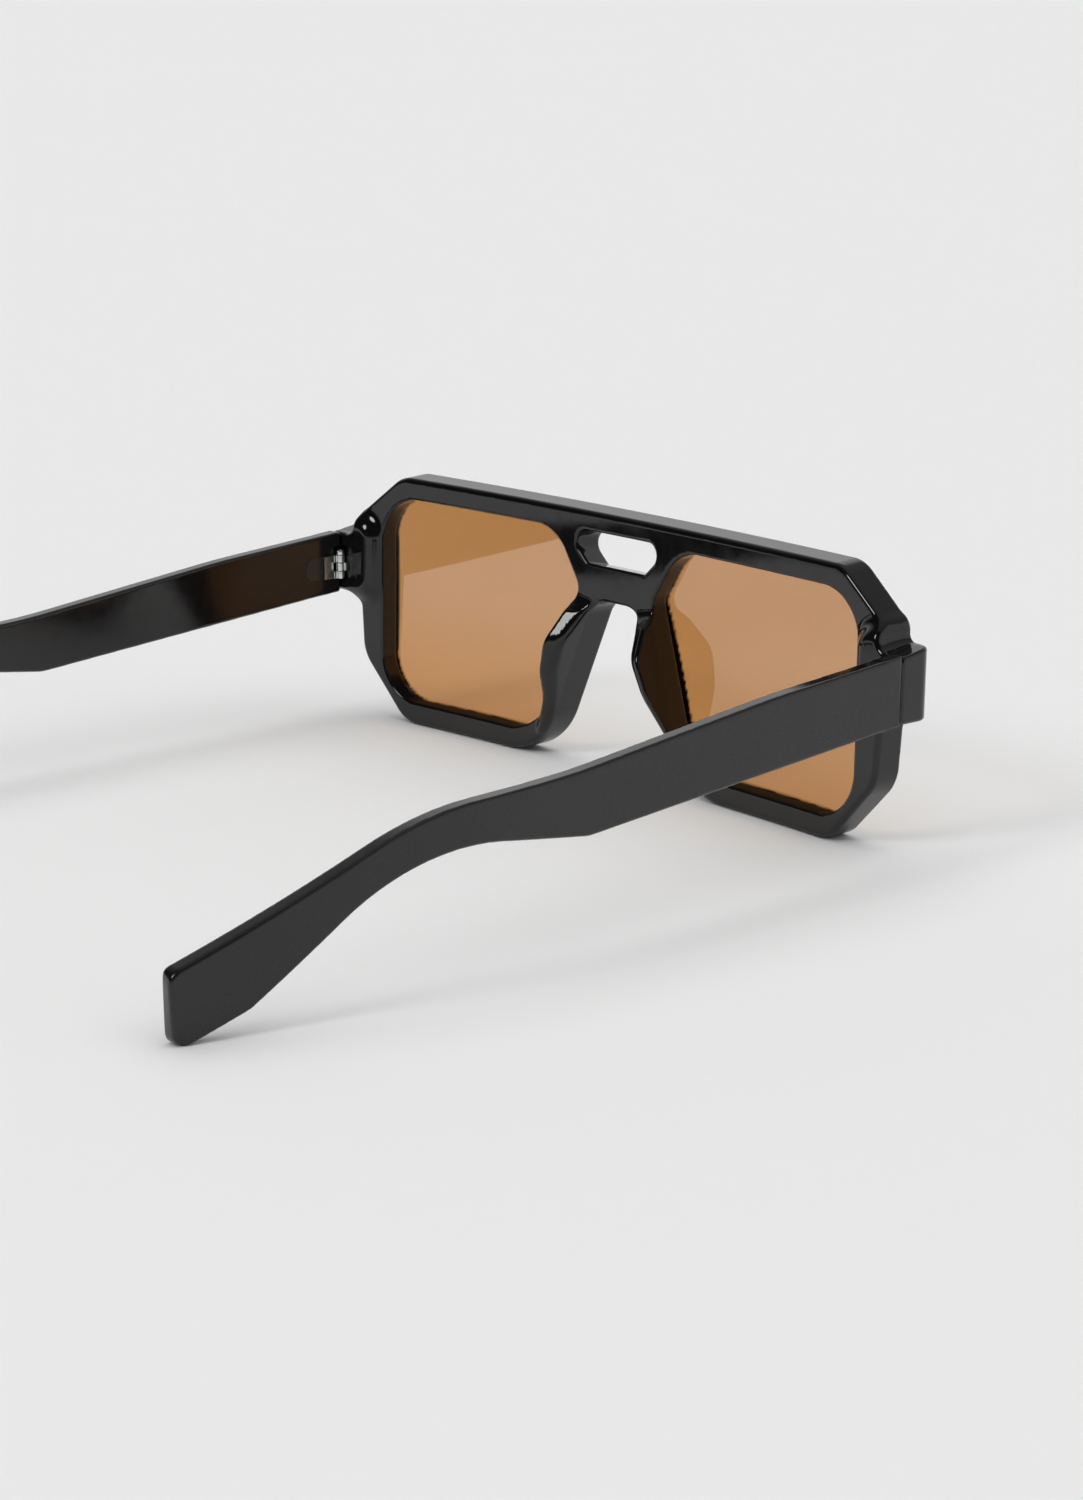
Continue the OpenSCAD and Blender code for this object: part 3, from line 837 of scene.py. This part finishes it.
def front_leaf_field(p):
    """The front's leaf: a plate, its anchor in the plastic, an arm and the middle knuckle"""
    axis = (p.axis_x, p.axis_y)
    edge = p.leaf_edge
    rear = p.butt_y + PROUD
    root = rear - LEAF_T
    near = p.axis_x - p.relief_r + ROOM
    mid = near - 1.5
    low, high = p.leaf_low, p.leaf_high
    mid_low, mid_high = p.middle_z, p.middle_top
    plate = ((near - 3, root, low), (near, rear, high))
    neck = ((mid - 0.8, root - 2, low + 1), (mid + 0.8, root + 0.1, high - 1))
    anchor = ((mid - 1.2, root - 2.6, low + 0.6), (mid + 1.2, root - 1.4, high - 0.6))
    arm = ((near - 0.5, root, mid_low), (axis[0], axis[1] - p.pin_r + 0.1, mid_high))

    def field(x, y, z):
        shape = block(x, y, z, *plate, edge)
        for corners in (neck, anchor, arm):
            shape = np.minimum(shape, block(x, y, z, *corners, edge))
        knuckle = barrel(x, y, z, axis, p.barrel_r, mid_low, mid_high, edge)
        return bored(p, blend_min(shape, knuckle, FILLET), x, y)

    return field


def temple_leaf_field(p):
    """The left temple's leaf: a plate, its anchor in the plastic and the two outer knuckles"""
    axis = (p.axis_x, p.axis_y)
    edge = p.leaf_edge
    start, end = p.axis_y + 1.15, p.axis_y + 8
    face = p.inner_x - PROUD
    back = face + LEAF_T
    hold = start + 2.75
    low, high = p.leaf_low, p.leaf_high
    plate = Outline([(start, low, 0.1), (end, low, 2.15), (end, high, 2.15), (start, high, 0.1)])
    neck = ((back - 0.1, hold - 0.8, low + 1), (back + 0.5, hold + 0.8, high - 1))
    anchor = ((back + 0.25, hold - 1.2, low + 0.6), (back + 0.75, hold + 1.2, high - 0.6))
    stand = ((face - 0.6, start, low), (face + 0.3, hold, high))
    gap_low, gap_high = p.middle_z - 0.15, p.middle_top + 0.15
    gap = ((face - 2, start - 1, gap_low), (face, start + 1.375, gap_high))

    def field(x, y, z):
        shape = round_max(plate.distance(y, z), np.abs(x - (face + back) / 2) - LEAF_T / 2, edge)
        for corners in (neck, anchor):
            shape = np.minimum(shape, block(x, y, z, *corners, edge))
        raised = block(x, y, z, *stand, edge)
        notch = block(x, y, z, *gap, 0.02)
        shape = np.minimum(shape, round_max(raised, -notch, edge))
        for z0 in (p.barrel_z, p.upper_z):
            z1 = z0 + p.knuckle_h
            arm = block(x, y, z, (*axis, z0), (p.inner_x + 0.1, start + 0.3, z1), edge)
            knuckle = barrel(x, y, z, axis, p.barrel_r, z0, z1, edge)
            shape = np.minimum(shape, blend_min(arm, knuckle, FILLET))
        return bored(p, shape, x, y)

    return field


def screw_tree():
    """Geometry nodes: a turned shank under a domed head with a slot across it"""
    tree = bpy.data.node_groups.new("hinge screw", "GeometryNodeTree")
    tree.interface.new_socket("Geometry", in_out="OUTPUT", socket_type="NodeSocketGeometry")
    lengths = ("Shank radius", "Shank length", "Head radius", "Head height", "Slot width")
    kinds = {"Place": "Vector", **dict.fromkeys(lengths, "Float"), "Material": "Material"}
    for name, kind in kinds.items():
        tree.interface.new_socket(name, in_out="INPUT", socket_type="NodeSocket" + kind)
    kit = Nodes(tree)
    given = kit.add("NodeGroupInput").outputs

    def at_height(z):
        return kit.made("ShaderNodeCombineXYZ", {2: z})

    def turned(bottom, top, count, radius_rule, sides):
        """A closed body turned round the upright line"""
        ends = {0: at_height(bottom), 1: at_height(top)}
        line = kit.made("GeometryNodeCurvePrimitiveLine", ends)
        line = kit.made("GeometryNodeResampleCurve", {"Curve": line, "Count": count})
        radius = radius_rule(kit.made("GeometryNodeSplineParameter"))
        line = kit.made("GeometryNodeSetCurveRadius", {"Curve": line, "Radius": radius})
        ring = kit.made("GeometryNodeCurvePrimitiveCircle", {"Resolution": sides, "Radius": 1.0})
        values = {"Curve": line, "Profile Curve": ring, "Fill Caps": True}
        node = kit.add("GeometryNodeCurveToMesh", values)
        if "Scale" in node.inputs:
            kit.put(node.inputs["Scale"], kit.made("GeometryNodeInputRadius"))
        return node.outputs[0]

    def shank_rule(share):
        tip = kit.math("MINIMUM", kit.times(share, 14.0), 1.0)
        return kit.times(given["Shank radius"], kit.plus(kit.times(tip, 0.25), 0.75))

    def head_rule(share):
        rise = kit.math("MAXIMUM", kit.minus(share, 0.45), 0.0)
        dome = kit.minus(1.0, kit.times(kit.math("POWER", rise, 4.0), 4.6))
        foot = kit.math("MINIMUM", kit.plus(kit.times(share, 2.2), 0.86), 1.0)
        return kit.times(given["Head radius"], kit.times(dome, foot))

    def moved(body, place, turn=(0, 0, 0)):
        values = {"Geometry": body, "Translation": place, "Rotation": turn}
        return kit.made("GeometryNodeTransform", values)

    top = kit.plus(given["Shank length"], given["Head height"])
    shank = turned(0.0, kit.plus(given["Shank length"], 0.0002), 24, shank_rule, 48)
    head = turned(given["Shank length"], top, 28, head_rule, 64)
    # The cut needs a closed head, so its points are merged
    head = kit.made("GeometryNodeMergeByDistance", {"Geometry": head, "Distance": 0.000001})
    across = kit.times(given["Head radius"], 2.6)
    values = {0: across, 1: given["Slot width"], 2: given["Head height"]}
    size = kit.made("ShaderNodeCombineXYZ", values)
    cutter = kit.made("GeometryNodeMeshCube", {"Size": size})
    lift = kit.plus(top, kit.times(given["Head height"], 0.15))
    cutter = moved(cutter, at_height(lift), (0, 0, 0.5))
    values = {"Mesh 1": head, "Mesh 2": cutter}
    head = kit.made("GeometryNodeMeshBoolean", values, operation="DIFFERENCE", solver="EXACT")
    join = kit.add("GeometryNodeJoinGeometry")
    kit.put(join.inputs[0], shank)
    kit.put(join.inputs[0], head)
    values = {"Geometry": moved(join.outputs[0], given["Place"]), "Material": given["Material"]}
    kit.add("NodeGroupOutput", {0: kit.made("GeometryNodeSetMaterial", values)})
    return tree


def grow(name, tree, values):
    """Runs a node tree with these inputs and returns the result as a plain mesh object"""
    holder = new_object(name + " seed", bpy.data.meshes.new(name + " seed"))
    modifier = holder.modifiers.new("Nodes", "NODES")
    modifier.node_group = tree
    items = tree.interface.items_tree
    sockets = {item.name: item.identifier for item in items if item.in_out == "INPUT"}
    for key, value in values.items():
        modifier[sockets[key]] = value
    holder.update_tag()
    graph = bpy.context.evaluated_depsgraph_get()
    mesh = bpy.data.meshes.new_from_object(holder.evaluated_get(graph))
    bpy.data.objects.remove(holder)
    if len(mesh.polygons) == 0:
        raise RuntimeError(name + ": the node tree made nothing")
    mesh.name = name
    return new_object(name, mesh)


# Operators: one for each piece or group of like pieces


def hold(piece, body, node, slot):
    """Ties a piece to its body and hides the solid that it stands for; the slot is not used"""
    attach(piece, body)
    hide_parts(node)


class MakeFront(bpy.types.Operator):
    """Make the moulded front with its rims, bridge, nose pads and end pieces"""

    bl_idname = "glasses.make_front"
    bl_label = "Front"

    def execute(self, context):
        p = places()
        shape = skin(front_field(p), (-74.6, -8.0, -0.8), (74.6, 8.0, 49.0), BODY_STEP)
        x, z, up = np.abs(shape[0][:, 0]), shape[0][:, 2], shape[2][:, 2]
        # Sills: where the surface faces up close to an opening's line
        away = np.abs(opening_outline(p).distance(x, z))
        marks = np.clip(1.5 - away / 0.4, 0, 1) * climb(up - 0.5, 0.3)
        shape = leaned(*shape, p.lean)
        piece = make_piece("front", shape, finish("polished black plastic"), "sill", marks)
        hold(piece, "front", "front_frame", "front_plastic")
        return {"FINISHED"}


class MakeTemples(bpy.types.Operator):
    """Make both temples, straight to the ear and bent inwards behind it"""

    bl_idname = "glasses.make_temples"
    bl_label = "Temples"

    def execute(self, context):
        p = places()
        field, outwards = temple_field(p)
        left = skin(field, (60.4, 4.3, -0.7), (74.5, 146.7, 36.2), BODY_STEP)
        out = outwards(left[0][:, 0], left[0][:, 1])
        marks = climb(out + 0.45, 0.3)
        for name, shape in both_sides(left):
            piece = make_piece(name + "_arm", shape, finish("temple plastic"), "outside", marks)
            hold(piece, name + "_arm", "temple_" + name, "temple_plastic")
        return {"FINISHED"}


class MakeLenses(bpy.types.Operator):
    """Make both curved lenses, with their edges in the rims"""

    bl_idname = "glasses.make_lenses"
    bl_label = "Lenses"

    def execute(self, context):
        p = places()
        left = skin(lens_field(p), (8, -7.0, 1.8), (63.2, 3.0, 45.0), LENS_STEP)
        # The rim mark is painted shade: it darkens the lens where it reaches into the rim's groove
        marks = climb(opening_outline(p).distance(left[0][:, 0], left[0][:, 2]) - 0.4, 0.15)
        for name, shape in both_sides(leaned(*left, p.lean)):
            piece = make_piece("tinted_lens_" + name, shape, finish("brown lens"), "rim", marks)
            hold(piece, "front", "lens_" + name, "lens_tint")
        return {"FINISHED"}


class MakeHingeLeaves(bpy.types.Operator):
    """Make the metal leaves of both hinges with their knuckles"""

    bl_idname = "glasses.make_hinge_leaves"
    bl_label = "Hinge leaves"

    def execute(self, context):
        p = places()
        x, y = p.axis_x, p.axis_y
        low, high = p.barrel_z - 0.4, p.barrel_top + 0.4
        front_box = (x - 4.4, y - 4.7, low), (x + 1.4, y + 1.4, high)
        temple_box = (x - 1.4, y - 1.4, low), (x + 2.7, y + 8.6, high)
        front = skin(front_leaf_field(p), *front_box, LEAF_STEP)
        temple = skin(temple_leaf_field(p), *temple_box, LEAF_STEP)
        for kind, made in (("front_hinge", front), ("arm_hinge", temple)):
            for name, shape in both_sides(made):
                points = shape[0]
                if kind == "front_hinge":
                    bare = np.hypot(np.abs(points[:, 0]) - x, points[:, 1] - y) < BARE_RING
                    body, node = "front", "front_leaf_" + name
                else:
                    bare = points[:, 1] < y + BARE_REACH
                    body, node = name + "_arm", "temple_leaf_" + name
                metal = finish("plated hinge metal")
                piece = make_piece(kind + "_" + name, shape, metal, "bare", bare)
                hold(piece, body, node, "hinge_metal")
        return {"FINISHED"}


class MakeScrews(bpy.types.Operator):
    """Make the screw of each hinge with its slotted head"""

    bl_idname = "glasses.make_screws"
    bl_label = "Screws"

    def execute(self, context):
        p = places()
        tree = screw_tree()
        material = finish("turned screw metal")
        y, z = (p.axis_y - p.mid_depth) / MM, p.barrel_z / MM
        for name, side in (("left", 1), ("right", -1)):
            piece = grow("turned_screw_" + name, tree, {
                "Place": (side * p.axis_x / MM, y, z),
                "Shank radius": p.pin_r / MM,
                "Shank length": (p.barrel_top - p.barrel_z) / MM,
                "Head radius": p.head_r / MM,
                "Head height": p.head_h / MM,
                "Slot width": p.slot_w / MM,
                "Material": material,
            })
            hold(piece, name + "_arm", "hinge_screw_" + name, "screw_metal")
        return {"FINISHED"}


class MakeStage(bpy.types.Operator):
    """Make the table, the lights and the camera"""

    bl_idname = "glasses.make_stage"
    bl_label = "Stage"

    def execute(self, context):
        scene = context.scene
        stage = scene.glasses_stage
        half = stage.table_size / 2
        corners = [(-half, -half, 0), (half, -half, 0), (half, half, 0), (-half, half, 0)]
        mesh = bpy.data.meshes.new("table")
        mesh.from_pydata(corners, [], [(0, 1, 2, 3)])
        mesh.materials.append(finish("pale table"))
        table = new_object("table", mesh)

        sun = new_object("soft sun", bpy.data.lights.new("soft sun", "SUN"))
        sun.data.energy = stage.sun_power
        sun.data.angle = math.radians(SUN_ANGLE)
        sun.rotation_euler = Vector(SUN_FROM).to_track_quat("Z", "Y").to_euler()
        sun.visible_glossy = False

        world = bpy.data.worlds.new("studio")
        world.use_nodes = True
        world.node_tree.nodes.clear()
        kit = Nodes(world.node_tree)
        way = kit.add("ShaderNodeTexCoord").outputs["Generated"]
        parts = kit.add("ShaderNodeSeparateXYZ", {0: way}).outputs
        height = kit.spread(parts[2], -1, 1)
        behind = kit.spread(parts[1], -0.08, 0.3)
        tone = kit.mix(behind, kit.ramp(height, AHEAD_TONES), kit.ramp(height, BEHIND_TONES))
        toward = kit.add("ShaderNodeVectorMath", {0: way, 1: PANEL_FROM}, operation="DOT_PRODUCT")
        panel = kit.spread(toward.outputs["Value"], *PANEL_EDGE)
        tone = kit.mix(panel, tone, (stage.panel_power,) * 3)
        seen = kit.add("ShaderNodeLightPath").outputs["Is Camera Ray"]
        tone = kit.mix(seen, tone, BACKDROP)
        sky = kit.made("ShaderNodeBackground", {"Color": tone, "Strength": stage.sky_power})
        kit.add("ShaderNodeOutputWorld", {0: sky})
        scene.world = world
        scene.view_settings.view_transform = "Standard"

        camera = new_object("camera", bpy.data.cameras.new("camera"))
        camera.data.lens = stage.focal
        camera.data.sensor_width = SENSOR
        camera.data.clip_end = SIGHT
        ahead = Vector(CAMERA_AHEAD).normalized()
        right = Vector(CAMERA_RIGHT).normalized()
        above = right.cross(ahead)
        turn = Matrix((right, above, -ahead)).transposed()
        x, y, z = CAMERA_PLACE
        place = Matrix.Translation((x, y - places().mid_depth / MM, z))
        camera.matrix_world = place @ turn.to_4x4()
        scene.camera = camera
        return {"FINISHED"}


GROUPS = {
    "glasses_front": FrontSizes,
    "glasses_lenses": LensSizes,
    "glasses_temples": TempleSizes,
    "glasses_hinges": HingeSizes,
    "glasses_finishes": Finishes,
    "glasses_stage": StageSizes,
}
OPERATORS = (MakeStage, MakeFront, MakeTemples, MakeLenses, MakeHingeLeaves, MakeScrews)


class GlassesPanel(bpy.types.Panel):
    """Sizes, colours and steps of the sunglasses"""

    bl_idname = "VIEW3D_PT_glasses"
    bl_label = "Sunglasses"
    bl_space_type = "VIEW_3D"
    bl_region_type = "UI"
    bl_category = "Glasses"

    def draw(self, context):
        layout = self.layout
        for operator in OPERATORS:
            layout.operator(operator.bl_idname)
        for key, group in GROUPS.items():
            box = layout.box()
            for name in group.__annotations__:
                box.prop(getattr(context.scene, key), name)


def register():
    for group in GROUPS.values():
        bpy.utils.register_class(group)
    for key, group in GROUPS.items():
        setattr(bpy.types.Scene, key, PointerProperty(type=group))
    for operator in OPERATORS:
        bpy.utils.register_class(operator)
    bpy.utils.register_class(GlassesPanel)


def unregister():
    bpy.utils.unregister_class(GlassesPanel)
    for operator in reversed(OPERATORS):
        bpy.utils.unregister_class(operator)
    for key, group in GROUPS.items():
        delattr(bpy.types.Scene, key)
        bpy.utils.unregister_class(group)


def main():
    register()
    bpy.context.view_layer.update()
    bpy.ops.glasses.make_stage()
    bpy.ops.glasses.make_front()
    bpy.ops.glasses.make_temples()
    bpy.ops.glasses.make_lenses()
    bpy.ops.glasses.make_hinge_leaves()
    bpy.ops.glasses.make_screws()


if __name__ == "__main__":
    main()
